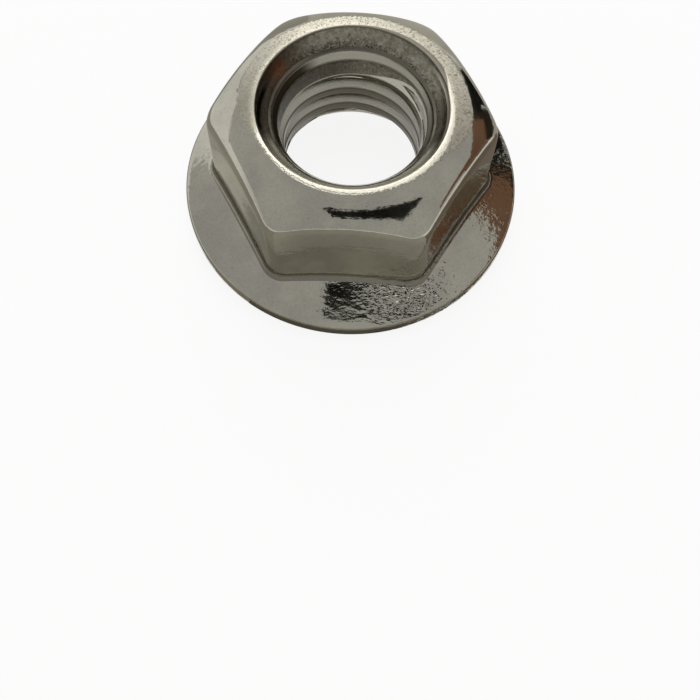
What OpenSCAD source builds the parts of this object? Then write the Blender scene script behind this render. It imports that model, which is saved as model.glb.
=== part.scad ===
// Serrated hexagon flange nut, one cold-forged and tapped piece of stainless steel.
// It stands on the tips of its serrations, with the hexagon up.
// Origin: on the thread's axis, in the plane of the tooth tips. +Z points away from the flange.

/* [Thread] */
// Nominal diameter of the metric thread
thread_d = 8; // [7.8:0.05:8.1]
// Pitch of the thread
pitch = 1.25; // [1:0.05:1.4]
// How much wider the hole was drilled for tapping than the basic minor diameter
drill_oversize = 0.15; // [0:0.05:0.25]

/* [Hexagon] */
// Overall height of the nut, from the tooth tips to the lip of the mouth
nut_h = 7.7; // [7.5:0.05:8]
// Width across the flats
across_flats = 12.8; // [12.6:0.05:13]
// Radius of the six upright edges
corner_r = 0.85; // [0.5:0.05:1.2]
// Diameter at which the crown turns down into the corner chamfer
crown_d = 11.7; // [11.2:0.1:12]
// Slope of the crown, between the lip and the chamfer
crown_slope = 27; // [22:1:30]
// Slope of the chamfer that trims the six corners
chamfer_slope = 40; // [34:1:42]

/* [Flange] */
// Outer diameter of the flange
flange_d = 17.5; // [17.2:0.1:17.9]
// Height of the rim's upper edge above the tooth tips
rim_h = 1.2; // [1.1:0.05:1.3]
// Slope of the flange's upper face
flange_slope = 27; // [20:1:30]
// Radius of the cove between the hexagon and the flange
cove_r = 0.45; // [0.3:0.05:0.6]

/* [Mouth] */
// Diameter of the mouth at the lip
mouth_d = 9; // [8.8:0.1:9.2]
// Diameter at which the forged wall ends on the smooth collar
collar_d = 7.8; // [7.6:0.1:8]
// Height of the collar's upper edge
collar_h = 6.8; // [6.6:0.05:6.9]
// Diameter of the throat where it leaves the collar
throat_d = 7.3; // [7.2:0.05:7.4]
// Height at which the throat has narrowed to the thread
throat_h = 5; // [4.8:0.05:5.2]

/* [Serrations] */
// Number of teeth round the bearing face
teeth = 24; // [20:1:28]
// Depth of the valleys at the rim
tooth_depth = 0.32; // [0.2:0.02:0.4]
// Diameter that the teeth reach
teeth_d = 16.9; // [16.7:0.1:17]
// How far a tooth runs ahead between the smooth ring and the rim, in degrees
tooth_sweep = 16; // [10:1:20]
// Share of the sweep that is spent close to the smooth ring
sweep_curl = 0.7; // [0.4:0.05:0.9]
// Width of the worn land on each tooth tip, as a share of the pitch
tip_land = 0.06; // [0.04:0.01:0.1]

/* [Underside] */
// Outer diameter of the smooth ring inside the teeth
ring_d = 11.8; // [11.6:0.1:12]
// How far the smooth ring lies above the tooth tips
ring_relief = 0.36; // [0.3:0.02:0.5]
// Diameter of the recess at the smooth ring
recess_d = 9.9; // [9.6:0.1:10.2]
// Diameter of the recess at its deep end
recess_floor_d = 8; // [7.8:0.1:8.2]
// Height of the recess's deep end above the tooth tips
recess_h = 1.9; // [1.7:0.05:2]
// Slope of the lead-in between the recess and the thread
lead_slope = 35; // [25:1:45]

/* [Hidden] */

// Overrun of a cut past the face it opens on
over = 1;
// The basic minor diameter of an internal metric thread is the nominal one less 1.0825 pitches
minor_r = (thread_d - 1.0825 * pitch + drill_oversize) / 2;
flange_r = flange_d / 2;
hex_apothem = across_flats / 2;
crown_r = crown_d / 2;
mouth_r = mouth_d / 2;
collar_r = collar_d / 2;
throat_r = throat_d / 2;
ring_r = ring_d / 2;
teeth_r = teeth_d / 2;

// Lip: a narrow flat with a rounded inner edge
lip_round = 0.25;
lip_flat = 0.15;
lip_r = mouth_r + lip_round + lip_flat;

// Forged wall of the mouth: steep below the lip, then a slope down to the collar
steep_depth = 0.5;
steep_draft = 0.14;
// Collar: a smooth ring that tapers down to the throat
collar_depth = 0.5;
// Throat: slightly tapered, with a short cone at its lower end
throat_lean = 0.1;
throat_cone = 0.4;

// Crown: a cone from the lip to the corner chamfer
crown_edge_h = nut_h - (crown_r - lip_r) * tan(crown_slope);
function chamfer_h(r) = crown_edge_h - (r - crown_r) * tan(chamfer_slope);

// Rim of the flange: bevelled below, higher than the valleys reach, and rounded above
rim_bevel = 0.45;
rim_round = 0.2;
rim_top_r = flange_r - rim_round;
function flange_h(r) = rim_h + (rim_top_r - r) * tan(flange_slope);

// Steps of each arc that is drawn point by point
arc_steps = 6;

// Hexagon with rounded corners, flats square to Y. Each flat is cut into flat_steps pieces
function hex_outline(apothem, radius, flat_steps = 1) = [
    for (corner = [0 : 5])
        let (
            reach = (apothem - radius) / cos(30),
            arc = [
                for (step = [0 : arc_steps])
                    let (
                        facing = 60 * corner,
                        turn = facing - 30 + 60 * step / arc_steps
                    )
                    [
                        reach * cos(facing) + radius * cos(turn),
                        reach * sin(facing) + radius * sin(turn)
                    ]
            ],
            start = arc[arc_steps],
            end = rotate_point(arc[0], 60)
        )
        each concat(arc, [
            for (i = [1 : 1 : flat_steps - 1])
                start + (end - start) * i / flat_steps
        ])
];

function rotate_point(p, angle) = [
    p[0] * cos(angle) - p[1] * sin(angle),
    p[0] * sin(angle) + p[1] * cos(angle)
];

// Closed skin through a ring of loops, each with the same number of points.
// The loops climb on the inside, run outward over the top and come back below
module skin(loops) {
    count = len(loops[0]);
    points = [for (loop = loops) each loop];
    faces = [
        for (level = [0 : len(loops) - 1], i = [0 : count - 1])
            let (
                j = (i + 1) % count,
                a = level * count,
                b = (level + 1) % len(loops) * count
            )
            each [[a + i, a + j, b + j], [a + i, b + j, b + i]]
    ];
    polyhedron(points, faces);
}

// Cove: an arc that leaves the flat upright and meets the slope of the flange.
// Its ends dip just below both surfaces, and its back lies inside the metal
cove_steps = 4;
cove_dip = 0.012;
cove_depth = 0.3;
cove_turn = 90 - flange_slope;
cove_tangent = cove_r * tan(cove_turn / 2);

function cove_growth(angle) = cove_r * (1 - cos(angle));

function cove_loop(growth, lift) = [
    for (p = hex_outline(hex_apothem + growth, corner_r + growth, 8))
        [p[0], p[1], flange_h(norm(p)) + lift]
];

module cove() {
    foot = cove_growth(cove_turn);
    skin(concat(
        [
            cove_loop(-cove_depth, -cove_depth),
            cove_loop(-cove_depth, cove_tangent),
            cove_loop(-cove_dip, cove_tangent)
        ],
        [
            for (step = [1 : cove_steps - 1])
                let (
                    angle = cove_turn * step / cove_steps,
                    growth = cove_growth(angle)
                )
                cove_loop(growth, cove_tangent - cove_r * sin(angle) + growth * tan(flange_slope))
        ],
        [
            cove_loop(foot, -cove_dip),
            cove_loop(foot, -cove_depth)
        ]
    ));
}

// Bearing surface of one tooth, counted counter-clockwise from its tip seen from above, as
// [share of the pitch, share of the depth]: the steep wall, the scooped valley, the long ramp
tooth_profile = [
    [0, 0],
    [0.08, 0.85],
    [0.13, 1],
    [0.26, 0.95],
    [0.4, 0.74],
    [1 - tip_land, 0]
];
// The cut stops this far short of the tip's plane, so a flat land is left
tip_clearance = 0.02;
// Depth of the valleys beside the smooth ring, as a share of their depth at the rim
inner_depth = 0.55;
// Radii at which the swept surface is drawn, and how far it runs past the ring and the rim
tooth_rings = 8;
tooth_overlap = 0.15;
// How fast the curl dies away from the smooth ring outward
curl_power = 2.5;

function tooth_reach(r) = (r - ring_r) / (teeth_r - ring_r);

function sweep_at(r) = tooth_sweep * (
    sweep_curl * (1 - pow(max(0, 1 - tooth_reach(r)), curl_power))
    + (1 - sweep_curl) * tooth_reach(r)
);

function depth_at(r) = tooth_depth * (inner_depth + (1 - inner_depth) * tooth_reach(r));

function tooth_loop(r, flat_h = undef) = [
    for (tooth = [0 : teeth - 1], p = tooth_profile)
        let (
            angle = 360 * (tooth + p[0]) / teeth + sweep_at(r),
            cut_h = p[1] == 0 ? -tip_clearance : depth_at(r) * p[1]
        )
        [r * cos(angle), r * sin(angle), is_undef(flat_h) ? cut_h : flat_h]
];

// Serrations: everything below one swept sawtooth surface that runs from the ring past the rim
module serrations() {
    inner = ring_r - tooth_overlap;
    outer = flange_r + tooth_overlap;
    radii = [for (i = [0 : tooth_rings]) inner + (outer - inner) * i / tooth_rings];
    skin(concat(
        [tooth_loop(inner, -over)],
        [for (r = radii) tooth_loop(r)],
        [tooth_loop(outer, -over)]
    ));
}

// Body of the hexagon: an upright prism trimmed by the turned crown
module hexagon() {
    intersection() {
        translate([0, 0, rim_h])
            linear_extrude(height = nut_h)
                polygon(hex_outline(hex_apothem, corner_r));
        rotate_extrude($fn = 96)
            polygon([
                [0, 0],
                [flange_r, 0],
                [flange_r, chamfer_h(flange_r)],
                [crown_r, crown_edge_h],
                [lip_r, nut_h],
                [0, nut_h]
            ]);
    }
}

// Flange: bevel, rim and sloping upper face turned in one
module flange() {
    rotate_extrude($fn = 96)
        polygon([
            [0, 0],
            [teeth_r, 0],
            [flange_r, rim_bevel],
            [flange_r, rim_h - rim_round],
            [flange_r - rim_round / 3, rim_h - rim_round / 3],
            [rim_top_r, rim_h],
            [hex_apothem - over, flange_h(hex_apothem - over)],
            [0, flange_h(hex_apothem - over)]
        ]);
}

// Everything round in the middle: mouth, collar, throat, tapping bore, recess and ring
module turned_core() {
    recess_r = recess_d / 2;
    recess_floor_r = recess_floor_d / 2;
    recess_lead = (recess_floor_r - minor_r) * tan(lead_slope);
    translate([0, 0, -over])
        cylinder(r = minor_r, h = nut_h + 2 * over, $fn = 96);
    rotate_extrude($fn = 96)
        polygon([
            [0, throat_h],
            [minor_r, throat_h],
            [throat_r - throat_lean, throat_h + throat_cone],
            [throat_r, collar_h - collar_depth],
            [collar_r, collar_h],
            [mouth_r - steep_draft, nut_h - steep_depth],
            [mouth_r, nut_h - lip_round],
            [mouth_r + lip_round * (1 - cos(45)), nut_h - lip_round * (1 - sin(45))],
            [mouth_r + lip_round, nut_h],
            [mouth_r + lip_round, nut_h + over],
            [0, nut_h + over]
        ]);
    rotate_extrude($fn = 96)
        polygon([
            [0, -over],
            [ring_r + 0.1, -over],
            [ring_r + 0.1, 0],
            [ring_r, ring_relief],
            [recess_r, ring_relief],
            [recess_r - 0.3, ring_relief + 0.25],
            [recess_floor_r, recess_h],
            [minor_r, recess_h + recess_lead],
            [0, recess_h + recess_lead]
        ]);
}

module flange_nut() {
    color("#9c998f")
        difference() {
            union() {
                flange();
                hexagon();
                cove();
            }
            turned_core();
            serrations();
        }
}

flange_nut();
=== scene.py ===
import math

import bmesh
import bpy
import numpy as np
from mathutils import Matrix, Vector


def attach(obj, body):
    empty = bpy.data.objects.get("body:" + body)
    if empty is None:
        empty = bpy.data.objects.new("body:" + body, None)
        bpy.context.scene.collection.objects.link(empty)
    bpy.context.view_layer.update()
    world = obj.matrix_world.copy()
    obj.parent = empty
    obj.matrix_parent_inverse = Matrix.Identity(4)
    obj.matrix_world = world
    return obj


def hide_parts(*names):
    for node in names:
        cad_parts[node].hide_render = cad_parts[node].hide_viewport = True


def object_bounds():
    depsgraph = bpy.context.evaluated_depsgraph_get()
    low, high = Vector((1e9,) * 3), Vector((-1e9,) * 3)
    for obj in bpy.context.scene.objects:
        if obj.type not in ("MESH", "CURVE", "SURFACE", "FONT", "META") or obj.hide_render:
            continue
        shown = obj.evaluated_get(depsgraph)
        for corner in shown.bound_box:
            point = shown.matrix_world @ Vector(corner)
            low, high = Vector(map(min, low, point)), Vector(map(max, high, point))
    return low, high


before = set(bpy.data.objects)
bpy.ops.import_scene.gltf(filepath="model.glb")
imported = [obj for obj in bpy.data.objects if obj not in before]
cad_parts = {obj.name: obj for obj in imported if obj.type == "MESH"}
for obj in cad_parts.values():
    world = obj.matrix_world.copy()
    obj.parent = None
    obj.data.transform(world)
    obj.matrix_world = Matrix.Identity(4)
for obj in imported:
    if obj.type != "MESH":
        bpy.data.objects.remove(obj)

mm = 0.001
cadLow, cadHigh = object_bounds()  # the CAD box, before anything is added
nutHeight = (cadHigh.z - cadLow.z) / mm
flangeRadius = (cadHigh.x - cadLow.x) / 2 / mm


# Camera: looks down on the nut, which stands in the upper half of the frame

cameraSettings = {
    "aim": (0.425, -9.404, 0.0),  # mm, the middle of the frame on the floor
    "distance": 54.75,            # mm
    "elevation": 66.83,           # degrees above the horizon
    "azimuth": 1.04,              # degrees round the nut
    "roll": 1.88,                 # degrees, the picture was taken slightly tilted
    "lens": 55.45,                # mm
    "sensor": 36,                 # mm wide
    "clip": (1, 5000),            # mm, the nearest and the farthest that it sees
}


def makeCamera(settings):
    azimuth, elevation = math.radians(settings["azimuth"]), math.radians(settings["elevation"])
    back = Vector((
        math.sin(azimuth) * math.cos(elevation),
        -math.cos(azimuth) * math.cos(elevation),
        math.sin(elevation),
    ))
    data = bpy.data.cameras.new("camera")
    data.lens = settings["lens"]
    data.sensor_width = settings["sensor"]
    data.clip_start, data.clip_end = [length * mm for length in settings["clip"]]
    camera = bpy.data.objects.new("camera", data)
    bpy.context.scene.collection.objects.link(camera)
    camera.rotation_mode = "QUATERNION"
    level = (-back).to_track_quat("-Z", "Y").to_matrix().to_4x4()
    turned = level @ Matrix.Rotation(math.radians(settings["roll"]), 4, "Z")
    place = (Vector(settings["aim"]) + back * settings["distance"]) * mm
    camera.matrix_world = Matrix.Translation(place) @ turned
    bpy.context.scene.camera = camera


makeCamera(cameraSettings)
bpy.context.scene.view_settings.view_transform = "Standard"
print("camera in place")


# Nut: one closed skin of rings. It starts at the lip, runs out over the crown and down to the
# rim, in across the serrations and up through the thread, back to the lip

nut = {
    # hexagon and crown, mm
    "apothem": 6.4,            # from the axis to a flat
    "cornerRadius": 1.3,
    "lipOuter": 4.9,           # radius where the lip turns into the crown
    "lipSoft": 0.15,           # half the width over which it turns
    "crownSlope": 27,          # degrees
    "crownBendStart": 5.5,     # radius where the crown starts to turn down more steeply
    "crownBend": 0.15,         # extra drop, times the square of the mm past that radius
    "edgeRadius": 0.9,         # polished edge between crown and flats
    # flange, mm
    "flangeSlope": 27,         # degrees
    "coveRadius": 0.45,        # at the foot of the hexagon
    "rimTop": 1.2,             # the flange's height at rimRound in from the rim
    "rimRound": 0.2,
    "rimBevel": 0.45,          # height at which the bevel outside the teeth meets the rim
    # mouth, mm
    "mouthRadius": 4.66,
    "lipRound": 0.06,
    # serrations, mm
    "teeth": 24,
    "teethRadius": 8.45,
    "toothDepth": 0.32,
    "toothSweep": 16,          # degrees
    "sweepCurl": 0.7,          # share of the sweep that curls tighter near the ring
    "curlPower": 2.5,          # how close to the ring it curls
    "innerDepth": 0.55,        # a tooth's depth at the ring, as a share of its full depth
    # underside, mm
    "ringRadius": 5.9,
    "recessRadius": 4.95,
    "leadRadius": 4.0,         # the lead-in of the thread starts at this radius
    "leadHeight": 1.9,
    "leadSlope": 35,           # degrees
    # thread, mm
    "pitch": 1.25,
    "minorRadius": 3.4,
    "majorRadius": 4.05,
    "sharpMinor": 3.3234,      # radius at which a crest is an eighth of the pitch each side
    "flankAngle": 30,          # degrees
    "crestBehind": 4.21,       # height of a crest at the back of the nut
    "lastGroove": 5.8,         # height where the top groove starts to run out
    "runOut": 0.2,             # climb over which it fades
    "threadTop": 6.85,         # height where the rows of the thread give way to the mouth's
}

# How finely the skin is cut. Radii and heights in mm, turns in degrees
meshDetail = {
    "lipTurns": [0, 20, 40, 60, 78],
    "lipRings": [4.76, 4.81, 4.86, 4.91, 4.96, 5.01, 5.06, 5.18, 5.33, 5.49, 5.65],
    "bandRings": 8,            # on the crown, its edge, the flats and the flange, each
    "coveRings": 7,
    "rimTurns": [43, 58, 74, 90],
    # down the rim's wall, with the share of the way from even spacing to the teeth's
    "wallRings": [[0.33, 0.85], [0.66, 0.65], [1.0, 0.47]],
    "toothRings": [
        8.74, 8.69, 8.63, 8.57, 8.51, 8.45, 8.38, 8.28, 8.12, 7.9,
        7.65, 7.4, 7.15, 6.9, 6.65, 6.42, 6.24, 6.1, 6.0,
    ],
    "rowsPerPitch": 24,
    "mouthRings": 8,
    "mergeWithin": 1e-4,       # closer points become one
    "dropWithin": 1e-5,        # shorter edges are dropped
    "sharpFrom": 38,           # edges that turn more than this stay crisp
}

# Forged wall of the mouth as [radius, height], from the tapped bore up to the lip
mouthWall = np.array([
    [3.4, 5.0],
    [3.55, 5.4],
    [3.63, 6.3],
    [3.67, 6.47],
    [3.88, 6.72],
    [3.93, 6.82],
    [4.37, 7.2],
    [4.56, 7.47],
    [4.66, 7.64],
])

# Underside within the teeth as [radius, height, share of even spacing]: the smooth ring, then the
# recess up to the lead-in
underside = [
    [5.9, 0.3, 0.0],
    [5.84, 0.35, 0.0],
    [5.65, 0.33, 0.4],
    [5.4, 0.33, 0.8],
    [5.15, 0.35, 1.0],
    [4.95, 0.42, 1.0],
    [4.82, 0.52, 1.0],
    [4.65, 0.68, 1.0],
    [4.47, 0.91, 1.0],
    [4.31, 1.16, 1.0],
    [4.15, 1.43, 1.0],
    [4.03, 1.85, 1.0],
]

# One tooth from its tip, counter-clockwise from above, as [share of the pitch, share of the depth]
toothProfile = np.array([
    [0.0, 0.0],
    [0.015, 0.06],
    [0.08, 0.85],
    [0.13, 1.0],
    [0.26, 0.95],
    [0.40, 0.74],
    [0.66, 0.36],
    [0.93, 0.02],
    [0.955, 0.0],
    [1.0, 0.0],
])

# Columns of one tooth, as shares of the pitch: close together on the steep wall
toothColumns = np.array([
    0.0, 0.02, 0.045, 0.07, 0.1, 0.13, 0.17, 0.22, 0.27, 0.33,
    0.39, 0.46, 0.53, 0.60, 0.67, 0.74, 0.81, 0.87, 0.925, 0.955,
])

columnsPerTooth = len(toothColumns)
columnCount = nut["teeth"] * columnsPerTooth
columns = np.arange(columnCount)
evenAngle = 2 * np.pi * columns / columnCount
fullTooth = 2 * np.pi / nut["teeth"]  # the outside is turned by one tooth against the inside
toothShare = toothColumns[columns % columnsPerTooth]
toothAngle = fullTooth * (columns // columnsPerTooth + toothShare)
halfSide = np.pi / 6                  # half the turn that one of the six flats takes
crownFall = math.tan(math.radians(nut["crownSlope"]))
flangeFall = math.tan(math.radians(nut["flangeSlope"]))


def hexRadius(angle):
    # Distance from the axis to the rounded hexagon, corners on X
    apothem, corner = nut["apothem"], nut["cornerRadius"]
    sector = (angle + halfSide) % (2 * halfSide) - halfSide  # 0 at a corner
    reach = (apothem - corner) / math.cos(halfSide)
    flat = apothem / np.cos(halfSide - np.abs(sector))
    square = np.maximum(0, corner**2 - (reach * np.sin(sector))**2)
    bend = reach * np.cos(sector) + np.sqrt(square)
    onCorner = np.abs(flat * np.sin(halfSide - np.abs(sector))) > reach * math.sin(halfSide)
    return np.where(onCorner, bend, flat)


def crownHeight(r):
    # The lip turns softly into the crown, and the crown falls faster towards the corners
    bend = np.maximum(0, r - nut["crownBendStart"])
    past, soft = r - nut["lipOuter"], nut["lipSoft"]
    run = np.where(past > soft, past, np.clip(past + soft, 0, None)**2 / (4 * soft))
    return nutHeight - run * crownFall - nut["crownBend"] * bend**2


def crownTilt(r):
    bend = np.maximum(0, r - nut["crownBendStart"])
    return np.arctan(crownFall + 2 * nut["crownBend"] * bend)


def flangeHeight(r):
    return nut["rimTop"] + (flangeRadius - nut["rimRound"] - r) * flangeFall


def acrossTeeth(r):
    # 0 at the smooth ring, 1 at the teeth's outer end
    return (r - nut["ringRadius"]) / (nut["teethRadius"] - nut["ringRadius"])


def sweepAt(r):
    reach = acrossTeeth(r)
    curl = nut["sweepCurl"] * (1 - max(0, 1 - reach) ** nut["curlPower"])
    return math.radians(nut["toothSweep"]) * (curl + (1 - nut["sweepCurl"]) * reach)


def toothHeight(r):
    depth = nut["innerDepth"] + (1 - nut["innerDepth"]) * acrossTeeth(r)
    profile = np.interp(toothShare, toothProfile[:, 0], toothProfile[:, 1])
    return nut["toothDepth"] * depth * profile


rings = []       # each ring is (angles, radii, heights), all of columnCount values
zones = []       # name of the surface that starts at each ring


def addRing(zone, angle, r, z):
    r, z = [np.broadcast_to(np.asarray(value, float), (columnCount,)) for value in (r, z)]
    rings.append((np.array(angle), np.array(r), np.array(z)))
    zones.append(zone)


def addOutside():
    angle = evenAngle + fullTooth
    flatAt = hexRadius(angle)
    bands = np.linspace(0, 1, meshDetail["bandRings"] + 1)[1:]
    lipR = nut["lipRound"]
    for turn in np.radians(meshDetail["lipTurns"]):
        r = nut["mouthRadius"] + lipR * (1 - np.cos(turn))
        addRing("lip", angle, r, nutHeight - lipR * (1 - np.sin(turn)))
    for r in meshDetail["lipRings"]:
        addRing("lip", angle, r, crownHeight(r))
    # the polished edge is an arc that touches the crown and the flat
    edge = nut["edgeRadius"]
    touch = flatAt - 0.5 * edge
    for _ in range(12):  # settles well before the last round
        touch = flatAt - edge + edge * np.sin(crownTilt(touch))
    tilt = crownTilt(touch)
    for share in bands:
        r = meshDetail["lipRings"][-1] + (touch - meshDetail["lipRings"][-1]) * share
        addRing("body", angle, r, crownHeight(r))
    centreZ = crownHeight(touch) - edge * np.cos(tilt)
    for share in bands:
        turn = tilt + (np.pi / 2 - tilt) * share
        r = flatAt - edge + edge * np.sin(turn)
        addRing("body", angle, r, centreZ + edge * np.cos(turn))
    # flat, cove and flange
    cove = nut["coveRadius"]
    coveTurn = math.radians(90 - nut["flangeSlope"])
    coveTop = flangeHeight(flatAt) + cove * math.tan(coveTurn / 2)
    for share in bands:
        z = centreZ + (coveTop - centreZ) * share
        addRing("cove" if share == 1 else "body", angle, flatAt, z)
    for share in np.linspace(0, 1, meshDetail["coveRings"] + 1)[1:]:
        turn = coveTurn * share
        r = flatAt + cove * (1 - np.cos(turn))
        addRing("cove" if share < 1 else "body", angle, r, coveTop - cove * np.sin(turn))
    coveEnd = flatAt + cove * (1 - np.cos(coveTurn))
    rimR = nut["rimRound"]
    slope = math.radians(nut["flangeSlope"])
    arcStart = flangeRadius - rimR + rimR * math.sin(slope)
    for share in bands:
        r = coveEnd + (arcStart - coveEnd) * share
        addRing("body", angle, r, flangeHeight(r))
    arcZ = flangeHeight(arcStart) - rimR * math.cos(slope)
    for turn in np.radians(meshDetail["rimTurns"]):
        r = flangeRadius - rimR + rimR * np.sin(turn)
        addRing("body", angle, r, arcZ + rimR * np.cos(turn))


def addSerrations():
    bevelSlope = nut["rimBevel"] / (flangeRadius - nut["teethRadius"])
    # down the rim's wall the columns slide from even spacing to the teeth
    for share, z in meshDetail["wallRings"]:
        even, swept = evenAngle + fullTooth, toothAngle + sweepAt(flangeRadius)
        addRing("body", even * (1 - share) + swept * share, flangeRadius, z)
    for r in meshDetail["toothRings"]:
        bevel = max(0, (r - nut["teethRadius"]) * bevelSlope)
        addRing("teeth", toothAngle + sweepAt(r), r, np.maximum(toothHeight(r), bevel))


def addUnderside():
    for r, z, share in underside:
        turn = toothAngle * (1 - share) + evenAngle * share
        addRing("ring" if r > nut["recessRadius"] else "recess", turn, r, z)


def threadRadius(z, angle):
    # Wall of the tapped hole: groove and crest of a right-hand thread
    pitch, minor, major = nut["pitch"], nut["minorRadius"], nut["majorRadius"]
    flank = math.tan(math.radians(nut["flankAngle"]))
    crest = nut["crestBehind"] + pitch * (angle - np.pi / 2) / (2 * np.pi)
    away = np.abs((z - crest + pitch / 2) % pitch - pitch / 2)  # height from the nearest crest
    groove = crest + (np.floor((z - crest) / pitch) + 0.5) * pitch
    fade = np.clip(1 - (groove - nut["lastGroove"]) / nut["runOut"], 0, 1)
    crestHalf = pitch / 8 + (minor - nut["sharpMinor"]) * flank
    return minor + np.clip((away - crestHalf) / flank, 0, major - minor) * fade


def wallRadius(z):
    return np.interp(z, mouthWall[:, 1], mouthWall[:, 0])


def boreRadius(z, angle):
    slope = math.tan(math.radians(nut["leadSlope"]))
    lead = nut["leadRadius"] - (z - nut["leadHeight"]) / slope
    return np.maximum(threadRadius(z, angle), np.maximum(wallRadius(z), lead))


def addThread():
    # Rows climb one pitch a turn, along the crest
    low, high = nut["leadHeight"], nut["threadTop"]
    step = nut["pitch"] / meshDetail["rowsPerPitch"]
    crest = nut["crestBehind"] + nut["pitch"] * (evenAngle - np.pi / 2) / (2 * np.pi)
    first = math.floor((low - crest.max()) / step)
    last = math.ceil((high - crest.min()) / step)
    for row in range(first, last + 1):
        z = np.clip(crest + row * step, low, high)
        addRing("thread", evenAngle, boreRadius(z, evenAngle), z)


def addMouth():
    for z in np.linspace(nut["threadTop"], mouthWall[-1, 1], meshDetail["mouthRings"] + 2)[1:-1]:
        addRing("mouth", evenAngle, wallRadius(z), z)


def ringFaces():
    # Quads between neighbouring rings. Thread rows climb one pitch a turn, so across the seam
    # a thread row meets the one that lies rowsPerPitch above it
    count = len(rings)
    threadRows = [row for row, zone in enumerate(zones) if zone == "thread"]
    firstThread, lastThread = threadRows[0], threadRows[-1]

    def corner(row, column):
        if row >= count:  # the skin closes on its first ring, which is turned by one tooth
            row -= count
            column -= columnsPerTooth
        if column >= columnCount:
            column -= columnCount
            if firstThread <= row <= lastThread:
                row = min(row + meshDetail["rowsPerPitch"], lastThread)
        return row * columnCount + column % columnCount

    faces = [
        (
            corner(row, column), corner(row, column + 1),
            corner(row + 1, column + 1), corner(row + 1, column),
        )
        for row in range(count) for column in range(columnCount)
    ]
    return faces, [zone for zone in zones for _ in range(columnCount)]


def makeNut():
    addOutside()
    addSerrations()
    addUnderside()
    addThread()
    addMouth()
    points = np.concatenate([
        np.stack([r * np.cos(a), r * np.sin(a), z], 1) for a, r, z in rings
    ]) * mm
    faces, faceZones = ringFaces()
    skinMesh = bpy.data.meshes.new("serratedFlangeNut")
    skinMesh.from_pydata(points.tolist(), [], faces)
    piece = bpy.data.objects.new("serratedFlangeNut", skinMesh)
    bpy.context.scene.collection.objects.link(piece)
    names = sorted(set(faceZones))
    slots = [names.index(zone) for zone in faceZones]
    skinMesh.polygons.foreach_set("material_index", slots)
    work = bmesh.new()
    work.from_mesh(skinMesh)
    bmesh.ops.remove_doubles(work, verts=work.verts, dist=meshDetail["mergeWithin"] * mm)
    bmesh.ops.dissolve_degenerate(work, edges=work.edges, dist=meshDetail["dropWithin"] * mm)
    bmesh.ops.recalc_face_normals(work, faces=work.faces)
    loose = [edge for edge in work.edges if len(edge.link_faces) != 2]
    print("open or shared edges", len(loose), "volume mm3", work.calc_volume() / mm**3)
    work.to_mesh(skinMesh)
    work.free()
    skinMesh.shade_smooth()
    skinMesh.set_sharp_from_angle(angle=math.radians(meshDetail["sharpFrom"]))
    print("triangles", sum(len(polygon.vertices) - 2 for polygon in skinMesh.polygons))
    return piece, names


nutPiece, zoneNames = makeNut()
print("nut built")


# Steel: one bright stainless, electropolished after forging and tapping. Each surface keeps the
# marks of how it was made, and some carry painted shade and painted highlights

steel = {
    "light": "#b9b6a8",        # polished metal, warm grey
    "dull": "#aba89c",         # the same, a little milky
    "forged": "#7b7562",       # forged skin that polishing hardly reached
    "pitAndShade": "#423c31",          # bottom of pits; also painted shade in creases, on the thread's crests, at the collar's left and in the cove, and darker patches in the bore
    "leftShade": "#3a2a1e",        # painted brown shade on the left of the mouth
    "rust": "#7a4b2d",         # one spot at the back left of the mouth
    "shadeStreak": "#0c0a08",       # painted black shade streak at the left of the mouth
    "tarnish": "#7d6c54",      # warm film on one side of the recess
    "film": "#7d786c",         # thin dark film on the lip's inner edge
    "worn": "#8e8a7a",         # hollows between the marks on the lip
    "burnishAndHighlight": "#ece7d6",      # abraded metal round the mouth, painted paler than the metal as a highlight; also the painted highlight in the mouth
}


def linear(hexColour):
    channels = [int(hexColour[i:i + 2], 16) / 255 for i in (1, 3, 5)]
    return (*[c / 12.92 if c <= 0.04045 else ((c + 0.055) / 1.055) ** 2.4 for c in channels], 1)


tone = {name: linear(colour) for name, colour in steel.items()}


def addNode(tree, kind, inputs=None, **settings):
    node = tree.nodes.new(kind)
    for name, value in settings.items():
        setattr(node, name, value)
    for name, value in (inputs or {}).items():
        if isinstance(value, bpy.types.NodeSocket):
            tree.links.new(value, node.inputs[name])
        else:
            node.inputs[name].default_value = value
    return node


# In the finishes below, a list of four numbers is a span: where it starts and ends, and the values
# that it eases from and to

def eased(tree, *steps):
    # A step is something measured on the surface and its span. Several steps multiply
    product = None
    for measured, (start, end, low, high) in steps:
        step = addNode(tree, "ShaderNodeMapRange", {
            "Value": measured, "From Min": start, "From Max": end, "To Min": low, "To Max": high,
        }, interpolation_type="SMOOTHSTEP").outputs["Result"]
        product = step if product is None else addNode(tree, "ShaderNodeMath", {
            0: product, 1: step,
        }, operation="MULTIPLY").outputs[0]
    return product


def coat(tree, under, over, *steps):
    # One colour over another, as thick as the steps say
    return addNode(tree, "ShaderNodeMix", {
        "Factor": eased(tree, *steps), "A": under, "B": over,
    }, data_type="RGBA").outputs["Result"]


def layer(tree, under, over, share):
    # One finish over another: colour, roughness and height
    return [
        addNode(tree, "ShaderNodeMix", {
            "Factor": share, "A": below, "B": above,
        }, data_type=kind).outputs["Result"]
        for kind, below, above in zip(("RGBA", "FLOAT", "FLOAT"), under, over)
    ]


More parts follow.
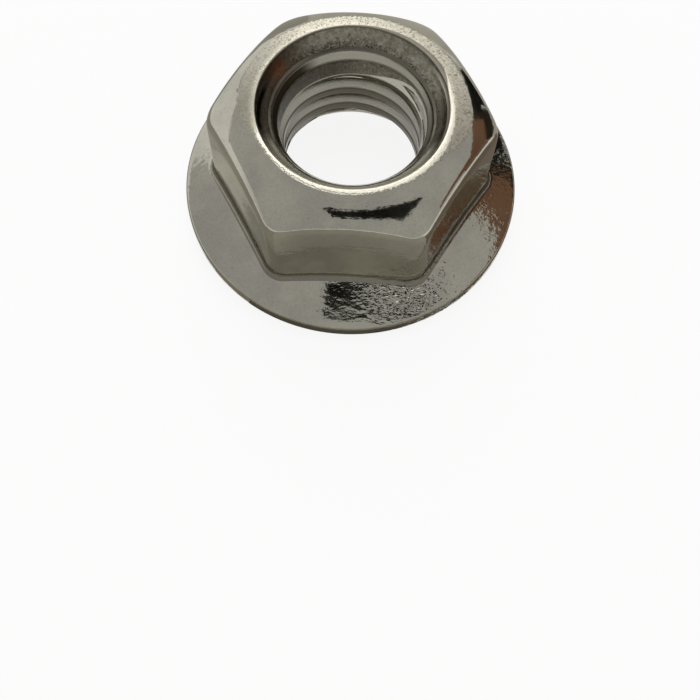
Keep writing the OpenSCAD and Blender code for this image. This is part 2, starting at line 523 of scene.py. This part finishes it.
def surfacePlace(tree, sides=None, inside=False):
    # Where a point lies on the nut, in mm: from the centre, round the axis without a seam, along
    # its profile, which falls outwards on the outside and rises outwards in the mouth, and how
    # far it lies on each named side, from 1 to -1 on the opposite side
    coords = addNode(tree, "ShaderNodeTexCoord")
    point = addNode(tree, "ShaderNodeVectorMath", {
        0: coords.outputs["Object"], "Scale": 1 / mm,
    }, operation="SCALE")
    parts = addNode(tree, "ShaderNodeSeparateXYZ", {0: point.outputs[0]})
    flat = addNode(tree, "ShaderNodeCombineXYZ", {0: parts.outputs[0], 1: parts.outputs[1]})
    radius = addNode(tree, "ShaderNodeVectorMath", {0: flat.outputs[0]}, operation="LENGTH")
    outward = addNode(tree, "ShaderNodeVectorMath", {0: flat.outputs[0]}, operation="NORMALIZE")
    run = addNode(tree, "ShaderNodeMath", {
        0: radius.outputs["Value"], 1: parts.outputs[2],
    }, operation="ADD" if inside else "SUBTRACT")
    place = {
        "point": point.outputs[0],
        "x": parts.outputs[0],
        "y": parts.outputs[1],
        "height": parts.outputs[2],
        "radius": radius.outputs["Value"],
        "outward": outward.outputs[0],
        "run": run.outputs[0],
    }
    for name, direction in (sides or {}).items():
        place[name] = addNode(tree, "ShaderNodeVectorMath", {
            0: outward.outputs[0], 1: direction,
        }, operation="DOT_PRODUCT").outputs["Value"]
    return place


grainRadius = 5  # mm from the axis, where the size of a grain is true along the turn


def grain(tree, place, size, along=1.0, across=1.0, detail=3.0, rough=0.6):
    # Noise with features of size mm, stretched along the turn and across it
    around = addNode(tree, "ShaderNodeVectorMath", {
        0: place["outward"], "Scale": grainRadius / along,
    }, operation="SCALE")
    shift = addNode(tree, "ShaderNodeMath", {0: place["run"], 1: 1 / across}, operation="MULTIPLY")
    parts = addNode(tree, "ShaderNodeSeparateXYZ", {0: around.outputs[0]})
    spot = addNode(tree, "ShaderNodeCombineXYZ", {
        0: parts.outputs[0], 1: parts.outputs[1], 2: shift.outputs[0],
    })
    return addNode(tree, "ShaderNodeTexNoise", {
        "Vector": spot.outputs[0], "Scale": 1 / size, "Detail": detail, "Roughness": rough,
    }).outputs["Fac"]


def startMaterial(name):
    material = bpy.data.materials.new(name)
    material.use_nodes = True
    tree = material.node_tree
    shader = tree.nodes["Principled BSDF"]
    shader.inputs["Metallic"].default_value = 1
    return material, tree, shader


def applyFinish(tree, shader, colour, roughness, height):
    bump = addNode(tree, "ShaderNodeBump", {"Height": height, "Distance": mm, "Strength": 1.0})
    tree.links.new(colour, shader.inputs["Base Color"])
    tree.links.new(roughness, shader.inputs["Roughness"])
    tree.links.new(bump.outputs["Normal"], shader.inputs["Normal"])


polish = {
    # the noise behind each mark: size in mm, detail, roughness
    "noises": {
        "peel": [0.42, 2.0, 0.5],
        "cloud": [2.6, 4.0, 0.6],
        "ripple": [0.24, 2.0, 0.55],
        "speck": [0.13, 2.0, 0.6],
    },
    "rippleStretch": (0.5, 1.0, 1.0),         # twice as long along X
    "rippleDepth": [2.6, 3.4, 0.007, 0.003],  # mm, by height from the flange to the crown
    "crinkleAt": (3.9, -6.8, 2.2),            # mm, in front at the right of the flange
    "crinkleDepth": [0.8, 4.0, 0.075, 0.0],   # mm, by distance from there
    "rightDepth": [5.0, 7.0, 0.0, 0.014],     # mm, by X
    "flangeShare": [2.5, 2.8, 1.0, 0.0],      # by height: the two above stay on the flange
    "peelDepth": 0.0055,                      # mm
    "speckDepth": 0.0007,                     # mm
    "cloudShare": [0.35, 0.65, 0.0, 1.0],
    "grainShare": [0.34, 0.56, 0.09, 0.0],
    "pitShare": [0.7, 0.78, 0.0, 1.0],
    "roughness": [0.3, 0.7, 0.05, 0.1],       # by the cloud
}


def polished(tree, place):
    # Electropolished skin: clear reflections, a little wavy from orange peel and from fine ripples
    # that are deeper on the flange and deepest in front at its right. A faint cloud, fine grain
    # and a few pits keep it from looking plated
    wide = addNode(tree, "ShaderNodeVectorMath", {
        0: place["point"], 1: polish["rippleStretch"],
    }, operation="MULTIPLY")
    noise = {
        name: addNode(tree, "ShaderNodeTexNoise", {
            "Vector": wide.outputs[0] if name == "ripple" else place["point"],
            "Scale": 1 / size, "Detail": detail, "Roughness": rough,
        }).outputs["Fac"]
        for name, (size, detail, rough) in polish["noises"].items()
    }
    away = addNode(tree, "ShaderNodeVectorMath", {
        0: place["point"], 1: polish["crinkleAt"],
    }, operation="DISTANCE")
    wavy = addNode(tree, "ShaderNodeMath", {
        0: eased(tree, (away.outputs["Value"], polish["crinkleDepth"])),
        1: eased(tree, (place["x"], polish["rightDepth"])),
    }, operation="MAXIMUM")
    deep = addNode(tree, "ShaderNodeMath", {
        0: wavy.outputs[0],
        1: eased(tree, (place["height"], polish["flangeShare"])),
        2: eased(tree, (place["height"], polish["rippleDepth"])),
    }, operation="MULTIPLY_ADD")
    height = addNode(tree, "ShaderNodeMath", {
        0: noise["ripple"], 1: deep.outputs[0],
    }, operation="MULTIPLY").outputs[0]
    for name in ("peel", "speck"):
        height = addNode(tree, "ShaderNodeMath", {
            0: noise[name], 1: polish[name + "Depth"], 2: height,
        }, operation="MULTIPLY_ADD").outputs[0]
    metal = coat(tree, tone["dull"], tone["light"], (noise["cloud"], polish["cloudShare"]))
    grainy = coat(tree, metal, tone["pitAndShade"], (noise["speck"], polish["grainShare"]))
    colour = coat(tree, grainy, tone["pitAndShade"], (noise["speck"], polish["pitShare"]))
    return colour, eased(tree, (noise["cloud"], polish["roughness"])), height


def makePolished():
    # Crown, flats, flange and rim, all electropolished
    material, tree, shader = startMaterial("electropolishedStainless")
    applyFinish(tree, shader, *polished(tree, surfacePlace(tree)))
    return material


coveShade = 0.55  # how much darker the foot of the hexagon is painted, as shade in the corner


def makeCove():
    # Foot of the hexagon: the die's corner, painted darker as shade, so it reads as a dark line
    # between the flats and the flange
    material, tree, shader = startMaterial("coveShadedStainless")
    colour, roughness, height = polished(tree, surfacePlace(tree))
    darker = addNode(tree, "ShaderNodeMix", {
        "Factor": coveShade, "A": colour, "B": tone["pitAndShade"],
    }, data_type="RGBA")
    applyFinish(tree, shader, darker.outputs["Result"], roughness, height)
    return material


lip = {
    "sides": {"left": (-1.0, 0.05, 0.0)},
    "speckle": {"size": 0.09, "across": 2.4, "detail": 4, "rough": 0.7},
    "ragged": {"size": 0.14, "across": 2.5, "detail": 4, "rough": 0.65},
    "bandSway": 0.7,                          # mm that the ragged grain moves the band's end
    "rimSway": 0.25,                          # mm, for the bright rim's end
    "innerEdge": [-0.03, 0.04, 0.0, 1.0],     # by mm past the start of the wear
    "rimEdge": [-0.03, 0.03, 0.0, 1.0],       # by mm inside the rim's end
    "bandEdge": [-0.02, 0.03, 0.0, 1.0],      # by mm inside the band's end
    "leftShare": [0.86, 0.97, 1.0, 0.1],      # the bright rim, worn and partly painted highlight, fades at the left
    "speckleShare": [0.34, 0.52, 0.0, 1.0],
    "speckleDepth": 0.042,                    # mm
    "roughness": [0.2, 0.9, 0.28, 0.58],      # by how bright the band is rubbed and painted as highlight
    "filmRoughness": 0.42,
    "storeFrom": 4.5,                         # a colour stop holds 0 to 1, so a radius is kept
    "storeSpan": 2.0,                         # in it as a share of this span, mm
}

# Wear round the mouth, with painted highlight, per direction in degrees counter-clockwise from -X.
# Distances from the axis in mm: where it starts, where the bright rim ends and where the speckled
# band ends. Last, how bright the band is painted, from rubbing and painted highlight, brightest at
# the back
lipWearAndHighlight = [
    [0, 4.66, 4.9, 5.5, 0.12],
    [22, 4.68, 4.88, 4.95, 0.3],
    [40, 4.68, 4.84, 4.84, 0.5],
    [60, 4.6, 4.84, 4.84, 0.5],
    [90, 4.58, 4.9, 4.9, 0.5],
    [120, 4.58, 4.94, 4.94, 0.5],
    [150, 4.56, 5.03, 5.05, 0.5],
    [165, 4.54, 4.97, 5.6, 0.5],
    [180, 4.54, 4.88, 5.8, 0.65],
    [195, 4.7, 4.86, 5.8, 0.75],
    [210, 4.96, 4.98, 5.68, 0.9],
    [240, 4.88, 4.9, 5.66, 0.9],
    [270, 4.76, 4.8, 5.6, 1.0],
    [300, 4.74, 4.76, 5.62, 1.0],
    [325, 4.76, 4.78, 5.72, 0.5],
    [345, 4.72, 4.8, 5.72, 0.3],
    [360, 4.66, 4.9, 5.5, 0.12],
]


def makeLipWearAndHighlight():
    # Lip of the mouth, rubbed by handling and painted paler as a highlight: a bright worn rim, and
    # at the back and the right a pale speckled band that ends in a ragged edge on the crown
    material, tree, shader = startMaterial("burnishedLipHighlightStainless")
    place = surfacePlace(tree, lip["sides"])
    unworn = polished(tree, place)
    turn = addNode(tree, "ShaderNodeMath", {0: place["y"], 1: place["x"]}, operation="ARCTAN2")
    turnShare = addNode(tree, "ShaderNodeMapRange", {
        "Value": turn.outputs[0], "From Min": -math.pi, "From Max": math.pi,
    })
    wear = addNode(tree, "ShaderNodeValToRGB", {"Fac": turnShare.outputs["Result"]})
    stops = wear.color_ramp.elements  # a new ramp has its first and last stop already
    for direction, *_ in lipWearAndHighlight[1:-1]:
        stops.new(direction / 360)
    for stop, (_, *radii, rubbedAndHighlight) in zip(stops, lipWearAndHighlight):
        stop.color = (*[(r - lip["storeFrom"]) / lip["storeSpan"] for r in radii], rubbedAndHighlight)
    stored = addNode(tree, "ShaderNodeSeparateColor", {"Color": wear.outputs["Color"]})
    start, rimEnd, bandEnd = [
        addNode(tree, "ShaderNodeMath", {
            0: stored.outputs[channel], 1: lip["storeSpan"], 2: lip["storeFrom"],
        }, operation="MULTIPLY_ADD").outputs[0]
        for channel in ("Red", "Green", "Blue")
    ]
    speckle = grain(tree, place, **lip["speckle"])
    ragged = grain(tree, place, **lip["ragged"])
    centred = addNode(tree, "ShaderNodeMath", {0: ragged, 1: 0.5}, operation="SUBTRACT")
    swayed = [
        addNode(tree, "ShaderNodeMath", {
            0: centred.outputs[0], 1: sway, 2: end,
        }, operation="MULTIPLY_ADD")
        for sway, end in ((lip["rimSway"], rimEnd), (lip["bandSway"], bandEnd))
    ]
    insideRim, insideBand = [
        addNode(tree, "ShaderNodeMath", {
            0: end.outputs[0], 1: place["radius"],
        }, operation="SUBTRACT").outputs[0]
        for end in swayed
    ]
    past = addNode(tree, "ShaderNodeMath", {0: place["radius"], 1: start}, operation="SUBTRACT")
    started = eased(tree, (past.outputs[0], lip["innerEdge"]))
    # Wear and painted highlight: the speckled band, as bright as each direction is given, and the
    # bright rim
    bandRubAndHighlight = addNode(tree, "ShaderNodeMath", {
        0: eased(tree, (speckle, lip["speckleShare"])), 1: wear.outputs["Alpha"],
    }, operation="MULTIPLY")
    rubAndHighlight = addNode(tree, "ShaderNodeMath", {
        0: bandRubAndHighlight.outputs[0],
        1: eased(tree, (insideRim, lip["rimEdge"]), (place["left"], lip["leftShare"])),
    }, operation="MAXIMUM")
    rubbedHighlightColour = addNode(tree, "ShaderNodeMix", {
        "Factor": rubAndHighlight.outputs[0], "A": tone["worn"], "B": tone["burnishAndHighlight"],
    }, data_type="RGBA")
    wornShare = addNode(tree, "ShaderNodeMath", {
        0: eased(tree, (insideBand, lip["bandEdge"])),
        1: eased(tree, (insideRim, lip["rimEdge"])),
    }, operation="MAXIMUM")
    strokes = addNode(tree, "ShaderNodeMath", {
        0: speckle, 1: lip["speckleDepth"],
    }, operation="MULTIPLY")
    colour, roughness, height = layer(tree, unworn, (
        rubbedHighlightColour.outputs["Result"],
        eased(tree, (wear.outputs["Alpha"], lip["roughness"])),
        strokes.outputs[0],
    ), wornShare.outputs[0])
    film = (tone["film"], lip["filmRoughness"], height)
    applyFinish(tree, shader, *layer(tree, film, (colour, roughness, height), started))
    return material


teethFinish = {
    "scratch": {"size": 0.06, "across": 9},
    "scratchDepth": 0.004,                    # mm
    "roughness": [0.3, 0.7, 0.16, 0.3],       # by the scratches
}


def makePressedTeeth():
    # Serrations: pressed and left satin, so each scoop holds a soft highlight, with fine scratches
    # from the die
    material, tree, shader = startMaterial("pressedTeethStainless")
    place = surfacePlace(tree)
    colour, _, height = polished(tree, place)
    scratch = grain(tree, place, **teethFinish["scratch"])
    scored = addNode(tree, "ShaderNodeMath", {
        0: scratch, 1: teethFinish["scratchDepth"], 2: height,
    }, operation="MULTIPLY_ADD")
    satin = eased(tree, (scratch, teethFinish["roughness"]))
    applyFinish(tree, shader, colour, satin, scored.outputs[0])
    return material


forgedSkin = {
    "mottle": {"along": 1.2, "across": 1.5, "detail": 6, "rough": 0.7},
    "pits": {"across": 1.3, "detail": 5, "rough": 0.75},
    "pitSize": 0.4,                           # as a share of the mottle's size
    "pitDepth": -0.01,                        # mm, sunk
    "pitShare": [0.57, 0.68, 0.0, 1.0],
    "mottleShare": [0.34, 0.7, 0.0, 1.0],
    "roughness": [0.3, 0.7, 0.26, 0.42],      # by the mottle
}


def forged(tree, place, size, depth, pitting):
    # Forged and left rough: mottled from grey to dull brown, with dark pits
    mottle = grain(tree, place, size, **forgedSkin["mottle"])
    pits = grain(tree, place, size * forgedSkin["pitSize"], **forgedSkin["pits"])
    often = addNode(tree, "ShaderNodeMath", {0: pits, 1: pitting}, operation="ADD")
    pitted = eased(tree, (often.outputs[0], forgedSkin["pitShare"]))
    metal = coat(tree, tone["forged"], tone["dull"], (mottle, forgedSkin["mottleShare"]))
    colour = addNode(tree, "ShaderNodeMix", {
        "Factor": pitted, "A": metal, "B": tone["pitAndShade"],
    }, data_type="RGBA")
    sunk = addNode(tree, "ShaderNodeMath", {
        0: pitted, 1: forgedSkin["pitDepth"],
    }, operation="MULTIPLY")
    height = addNode(tree, "ShaderNodeMath", {
        0: mottle, 1: depth, 2: sunk.outputs[0],
    }, operation="MULTIPLY_ADD")
    roughness = eased(tree, (mottle, forgedSkin["roughness"]))
    return colour.outputs["Result"], roughness, height.outputs[0]


creaseShadeBehind = [-2.0, 1.0, 0.15, 0.75]  # by Y: painted shade in the crease over the collar, darkest at the back

mouth = {
    "sides": {
        "left": (-0.97, 0.24, 0.0),
        "right": (0.96, -0.26, 0.0),
        "nearLeft": (-0.97, -0.24, 0.0),
    },
    "mottleSize": 0.22,                       # mm
    "depth": 0.014,                           # mm
    "pitting": [6.8, 7.35, 0.14, -0.01],      # by height, most towards the collar
    "leftShade": [0.6, 0.95, 0.0, 0.75],          # painted shade, by left
    "rustAt": (-3.8, 2.2, 7.25),              # mm
    "rust": [0.1, 0.95, 0.5, 0.0],            # by distance from there
    "darkerRight": [0.75, 0.97, 0.0, 0.75],         # darker towards the right, by right
    "shadeStreak": [0.82, 0.93, 0.0, 1.0],         # painted shade streak, by near left
    "shadeStreakTilt": 0.085,                      # the painted streak rises towards the front
    "shadeStreakFrom": [7.22, 7.3, 0.0, 1.0],      # by height
    "shadeStreakTo": [7.43, 7.5, 1.0, 0.0],
    "highlightFront": [-2.8, -1.2, 1.0, 0.0],       # painted highlight at the front, by Y
    "highlightFrontFrom": [6.88, 7.08, 0.0, 1.0],   # by height
    "highlightRight": [0.6, 0.88, 0.0, 1.0],
    "highlightRightFrom": [7.42, 7.5, 0.0, 1.0],
    "highlightRoughness": 0.34,
    "creaseShadeTo": [6.86, 6.9, 1.0, 0.0],        # painted shade in the crease, by height
}


def makeForgedMouth():
    # Wall of the mouth, forged and never cut: matt and mottled, pitted towards the collar, with
    # painted shade in the crease above it, a painted highlight at the front under the lip and at
    # the top right, painted shade at the left with a black painted streak, darker towards the
    # right, and a spot of rust
    material, tree, shader = startMaterial("forgedMouthStainless")
    place = surfacePlace(tree, mouth["sides"], inside=True)
    pitting = eased(tree, (place["height"], mouth["pitting"]))
    colour, roughness, height = forged(
        tree, place, mouth["mottleSize"], mouth["depth"], pitting,
    )
    toRust = addNode(tree, "ShaderNodeVectorMath", {
        0: place["point"], 1: mouth["rustAt"],
    }, operation="DISTANCE").outputs["Value"]
    level = addNode(tree, "ShaderNodeMath", {
        0: place["y"], 1: mouth["shadeStreakTilt"], 2: place["height"],
    }, operation="MULTIPLY_ADD").outputs[0]
    # Painted shade at the left, a black painted shade streak at the near left, a spot of rust, and
    # darker towards the right
    for film, *steps in (
        ("leftShade", (place["left"], mouth["leftShade"])),
        ("rust", (toRust, mouth["rust"])),
        ("pitAndShade", (place["right"], mouth["darkerRight"])),
        (
            "shadeStreak", (place["nearLeft"], mouth["shadeStreak"]),
            (level, mouth["shadeStreakFrom"]), (level, mouth["shadeStreakTo"]),
        ),
    ):
        colour = coat(tree, colour, tone[film], *steps)
    # Painted highlight in the burnish colour: at the front under the lip and at the top right
    rubAndHighlight = addNode(tree, "ShaderNodeMath", {
        0: eased(
            tree, (place["y"], mouth["highlightFront"]), (place["height"], mouth["highlightFrontFrom"]),
        ),
        1: eased(
            tree, (place["right"], mouth["highlightRight"]), (place["height"], mouth["highlightRightFrom"]),
        ),
    }, operation="MAXIMUM")
    rubbedAndHighlight = (tone["burnishAndHighlight"], mouth["highlightRoughness"], 0.0)
    colour, roughness, height = layer(tree, (colour, roughness, height), rubbedAndHighlight, rubAndHighlight.outputs[0])
    # Painted shade in the crease above the collar
    creaseShaded = coat(
        tree, colour, tone["pitAndShade"], (place["height"], mouth["creaseShadeTo"]), (place["y"], creaseShadeBehind),
    )
    applyFinish(tree, shader, creaseShaded, roughness, height)
    return material


recess = {
    "sides": {"warm": (0.9, -0.44, 0.0)},
    "mottleSize": 0.25,                       # mm
    "depth": 0.02,                            # mm
    "pitting": 0.04,
    "tarnish": [0.3, 0.95, 0.0, 0.6],         # by the warm side
}


def makeRecess():
    # Pierced recess of the underside, left as forged: matt and rough, with a warm tarnish on one
    # side
    material, tree, shader = startMaterial("piercedRecessStainless")
    place = surfacePlace(tree, recess["sides"])
    colour, roughness, height = forged(
        tree, place, recess["mottleSize"], recess["depth"], recess["pitting"],
    )
    tarnished = coat(tree, colour, tone["tarnish"], (place["warm"], recess["tarnish"]))
    applyFinish(tree, shader, tarnished, roughness, height)
    return material


cut = {
    "lines": {"along": 30},                   # long round the axis
    "lineShare": [0.35, 0.65, 0.0, 1.0],
    "roughness": [0.3, 0.7],                  # by the lines, over roughnessSpan
    "roughnessSpan": 0.08,
}


def cutLines(tree, place, size, depth, roughness):
    # Cut by a tap or pressed by a punch: fine lines that run round the axis
    lines = grain(tree, place, size, **cut["lines"])
    colour = coat(tree, tone["dull"], tone["light"], (lines, cut["lineShare"]))
    height = addNode(tree, "ShaderNodeMath", {0: lines, 1: depth}, operation="MULTIPLY")
    span = [*cut["roughness"], roughness, roughness + cut["roughnessSpan"]]
    return colour, eased(tree, (lines, span)), height.outputs[0]


tapped = {
    "sides": {"left": (-0.98, 0.2, 0.0), "backLeft": (-0.72, 0.69, 0.0)},
    "lineSize": 0.05,                         # mm
    "lineDepth": 0.005,                       # mm
    "roughness": 0.2,
    "crestShade": [3.41, 3.5, 0.92, 0.0],     # painted shade on the crests, by radius
    # collar
    "collarFrom": [6.38, 6.44, 0.0, 1.0],     # by height
    "collarTo": [6.7, 6.74, 1.0, 0.0],
    "collarShadeLeft": [0.62, 0.85, 0.0, 1.0],    # painted shade, by left
    "collarRoughness": [-2.6, -1.0, 0.1, 0.36],  # by Y, smooth at the front
    "creaseShadeFrom": [6.74, 6.8, 0.0, 1.0],      # painted shade in the crease, by height
    # rough band
    "mottleSize": 0.16,                       # mm
    "bandDepth": 0.02,                        # mm
    "bandPitting": 0.09,
    "bandDarkerBackLeft": [0.55, 0.9, 0.1, 0.7],       # darker towards the back left, by back left
    "bandFoot": [-0.35, 0.65, 6.38, 5.4],     # height of its foot, by back left
    "bandFrom": [0.0, 0.08, 0.0, 1.0],        # by mm above the foot
    "bandTo": [6.36, 6.42, 1.0, 0.0],         # by height
}


def makeTapped():
    # Collar, rough band and thread, all in the bore. The tap leaves satin turns, with painted shade
    # on the crests. The collar is rubbed lighter, with painted shade at its left, and is bright at
    # the front. The band lies under it at the back and at the left, where the tap never reached
    material, tree, shader = startMaterial("tappedStainless")
    place = surfacePlace(tree, tapped["sides"], inside=True)
    colour, roughness, height = cutLines(
        tree, place, tapped["lineSize"], tapped["lineDepth"], tapped["roughness"],
    )
    crests = coat(tree, colour, tone["pitAndShade"], (place["radius"], tapped["crestShade"]))
    # Painted shade on the collar's left
    collarColour = coat(tree, tone["light"], tone["pitAndShade"], (place["left"], tapped["collarShadeLeft"]))
    collarRough = eased(tree, (place["y"], tapped["collarRoughness"]))
    onCollar = eased(
        tree, (place["height"], tapped["collarFrom"]), (place["height"], tapped["collarTo"]),
    )
    cutFinish = layer(
        tree, (crests, roughness, height), (collarColour, collarRough, height), onCollar,
    )
    bandColour, bandRough, bandHeight = forged(
        tree, place, tapped["mottleSize"], tapped["bandDepth"], tapped["bandPitting"],
    )
    bandDark = coat(tree, bandColour, tone["pitAndShade"], (place["backLeft"], tapped["bandDarkerBackLeft"]))
    foot = eased(tree, (place["backLeft"], tapped["bandFoot"]))
    above = addNode(tree, "ShaderNodeMath", {0: place["height"], 1: foot}, operation="SUBTRACT")
    inBand = eased(
        tree, (above.outputs[0], tapped["bandFrom"]), (place["height"], tapped["bandTo"]),
    )
    bandFinish = (bandDark, bandRough, bandHeight)
    colour, roughness, height = layer(tree, cutFinish, bandFinish, inBand)
    # Painted shade in the crease above the collar
    creaseShaded = coat(
        tree, colour, tone["pitAndShade"],
        (place["height"], tapped["creaseShadeFrom"]), (place["y"], creaseShadeBehind),
    )
    applyFinish(tree, shader, creaseShaded, roughness, height)
    return material


coinedRing = {
    "lineSize": 0.08,                         # mm
    "lineDepth": 0.003,                       # mm
    "roughness": 0.22,
}


def makeCoinedRing():
    # Smooth ring inside the teeth, pressed by the punch: an even satin with faint turned lines
    material, tree, shader = startMaterial("coinedRingStainless")
    applyFinish(tree, shader, *cutLines(
        tree, surfacePlace(tree),
        coinedRing["lineSize"], coinedRing["lineDepth"], coinedRing["roughness"],
    ))
    return material


zoneMaterials = {
    "body": makePolished(),
    "cove": makeCove(),
    "lip": makeLipWearAndHighlight(),
    "mouth": makeForgedMouth(),
    "thread": makeTapped(),
    "recess": makeRecess(),
    "ring": makeCoinedRing(),
    "teeth": makePressedTeeth(),
}
for zone in zoneNames:
    nutPiece.data.materials.append(zoneMaterials[zone])

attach(nutPiece, "root")
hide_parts("flange_nut")
print("materials made")


# Floor, cards and light

stage = {
    "paper": "#f6f6f4",
    "paperRoughness": 0.9,
    "whiteShare": 0.88,        # of what the camera and the metal see of the floor
    "floorHalf": 600,          # mm
    "tableLift": 0.03,         # mm above the floor
    "tableCorners": 13,        # along each curved side
    "room": "#c5c5c5",         # plain soft light from all round
    "glow": "#ffffff",         # its lighter part along the horizon
    "glowSide": (-0.75, 0.66, 0.0),
    "glowSpread": [0.2, 0.85, 0.0, 1.0],     # by how far a direction points there
    "glowHeight": [0.33, 0.355, 1.0, 0.0],   # by height, 0 at the horizon and 1 overhead
}

# Name, [place in mm, width in mm, watts]
softboxes = {
    "softboxAbove": [(-5, 42, 190), 150, 0.072],
    "softboxBehind": [(-17, 157, 123), 120, 0.1],
}

# Sheets that lie round the nut: name, [colour, first and last direction in degrees, inner and
# outer radius in mm]
tables = {
    "tableLeft": ["#b0aca0", 124, 235, 8.9, 40],
    "tableFrontEdge": ["#7c766b", 235, 318, 8.8, 9.3],
    "tableFront": ["#bfbbb1", 235, 318, 9.3, 80],
    "tableRight": ["#84776a", 318, 382, 8.9, 30],
    "tableBehind": ["#c6c3ba", 382, 464, 8.9, 120],
    "tableBehindLeft": ["#a7a49a", 464, 484, 8.9, 60],
}

# Standing cards: name, [colour, corners in mm]. The front one gives the dark band on the crown
cards = {
    "frontCard": ["#050505", [
        (-12.8, -26.7, 52.2), (-7.3, -27.0, 52.0), (-1.3, -27.1, 52.0), (9.7, -26.5, 52.1),
        (20.7, -24.1, 53.1), (33.7, -21.5, 54.1), (43.6, -19.1, 55.0),
        (-12.5, -27.1, 52.0), (-7.9, -34.6, 48.8), (-1.1, -34.6, 48.7), (9.9, -34.6, 48.6),
        (20.9, -35.1, 48.3), (34.0, -38.6, 46.8), (37.3, -32.1, 49.5),
    ]],
    "rightFarCard": ["#060504", [
        (26, 17, 4.5), (20.2, 27.5, 4.5), (20.2, 27.5, 9), (26, 17, 15.5),
    ]],
    "rightGlintCard": ["#fbfbf8", [
        (24.8, 17.2, 5.2), (24.3, 17.9, 5.2), (24.3, 17.9, 8.5), (24.8, 17.2, 8.5),
    ]],
    "rightNearCard": ["#2e241c", [
        (29.6, 10.8, 4.5), (26, 17, 4.5), (26, 17, 15.5), (29.6, 10.8, 15.9),
    ]],
    "rightSideCard": ["#97816f", [
        (37, -2, 4.5), (29.6, 10.8, 4.5), (29.6, 10.8, 15.9), (37, -2, 16.5),
    ]],
    "rightBrownCard": ["#946d55", [
        (35, -14, 12), (34.5, -3, 11), (26.5, 15, 9.5),
        (35, -14, 20), (34.5, -3, 19), (26.5, 15, 17),
    ]],
}


def makePaper(name, colour):
    material = bpy.data.materials.new(name)
    material.use_nodes = True
    shader = material.node_tree.nodes["Principled BSDF"]
    shader.inputs["Base Color"].default_value = linear(colour)
    shader.inputs["Roughness"].default_value = stage["paperRoughness"]
    return material, shader


def makeSheet(name, corners, material):
    # One four-sided sheet, or a strip between two equal rows of corners
    sheetMesh = bpy.data.meshes.new(name)
    half = len(corners) // 2
    faces = [(0, 1, 2, 3)] if half == 2 else [
        (i, i + 1, half + i + 1, half + i) for i in range(half - 1)
    ]
    sheetMesh.from_pydata([[c * mm for c in corner] for corner in corners], [], faces)
    sheet = bpy.data.objects.new(name, sheetMesh)
    bpy.context.scene.collection.objects.link(sheet)
    sheetMesh.materials.append(material)
    return sheet


def makeFloor():
    # Pale paper. What the camera and the metal see of it is mostly its own white, and the rest
    # is lit, so the nut keeps a faint shadow
    material, shader = makePaper("paleMattPaper", stage["paper"])
    tree = material.node_tree
    rays = addNode(tree, "ShaderNodeLightPath")
    seen = 0.0
    for ray in ("Is Camera Ray", "Is Glossy Ray", "Is Transmission Ray"):
        seen = addNode(tree, "ShaderNodeMath", {
            0: rays.outputs[ray], 1: seen,
        }, operation="ADD", use_clamp=True).outputs[0]
    share = addNode(tree, "ShaderNodeMath", {0: seen, 1: stage["whiteShare"]}, operation="MULTIPLY")
    white = addNode(tree, "ShaderNodeEmission", {"Color": linear("#ffffff"), "Strength": 1.0})
    mixed = addNode(tree, "ShaderNodeMixShader", {
        "Fac": share.outputs[0], 1: shader.outputs[0], 2: white.outputs[0],
    })
    tree.links.new(mixed.outputs[0], tree.nodes["Material Output"].inputs["Surface"])
    half = stage["floorHalf"]
    corners = [(-half, -half, 0), (half, -half, 0), (half, half, 0), (-half, half, 0)]
    makeSheet("floor", corners, material)


def makeCard(name, colour, corners):
    # Matt paper for the metal to mirror. The camera doesn't see it, and it shades nothing
    material, _ = makePaper(name + "Paper", colour)
    card = makeSheet(name, corners, material)
    card.visible_camera = False
    card.visible_shadow = False
    card.visible_diffuse = False


def makeTable(name, colour, start, end, inner, outer):
    turns = np.radians(np.linspace(start, end, stage["tableCorners"]))
    corners = [
        (radius * math.cos(turn), radius * math.sin(turn), stage["tableLift"])
        for radius in (inner, outer) for turn in turns
    ]
    makeCard(name, colour, corners)


def makeLamp(name, place, size, power):
    data = bpy.data.lights.new(name, "AREA")
    data.shape = "DISK"
    data.size = size * mm
    data.energy = power
    lamp = bpy.data.objects.new(name, data)
    bpy.context.scene.collection.objects.link(lamp)
    lamp.location = Vector(place) * mm
    lamp.rotation_mode = "QUATERNION"
    lamp.rotation_quaternion = (-Vector(place)).to_track_quat("-Z", "Y")


def makeWorld():
    # Soft grey room, lighter along the horizon behind and to the left
    world = bpy.data.worlds.new("studio")
    bpy.context.scene.world = world
    world.use_nodes = True
    tree = world.node_tree
    coords = addNode(tree, "ShaderNodeTexCoord")
    parts = addNode(tree, "ShaderNodeSeparateXYZ", {0: coords.outputs["Generated"]})
    towards = addNode(tree, "ShaderNodeVectorMath", {
        0: coords.outputs["Generated"], 1: stage["glowSide"],
    }, operation="DOT_PRODUCT")
    colour = coat(
        tree, linear(stage["room"]), linear(stage["glow"]),
        (parts.outputs[2], stage["glowHeight"]), (towards.outputs["Value"], stage["glowSpread"]),
    )
    tree.links.new(colour, tree.nodes["Background"].inputs["Color"])
    tree.nodes["Background"].inputs["Strength"].default_value = 1.0


makeFloor()
makeWorld()
for name, (place, size, power) in softboxes.items():
    makeLamp(name, place, size, power)
for name, (colour, start, end, inner, outer) in tables.items():
    makeTable(name, colour, start, end, inner, outer)
for name, (colour, corners) in cards.items():
    makeCard(name, colour, corners)
print("stage and light set")
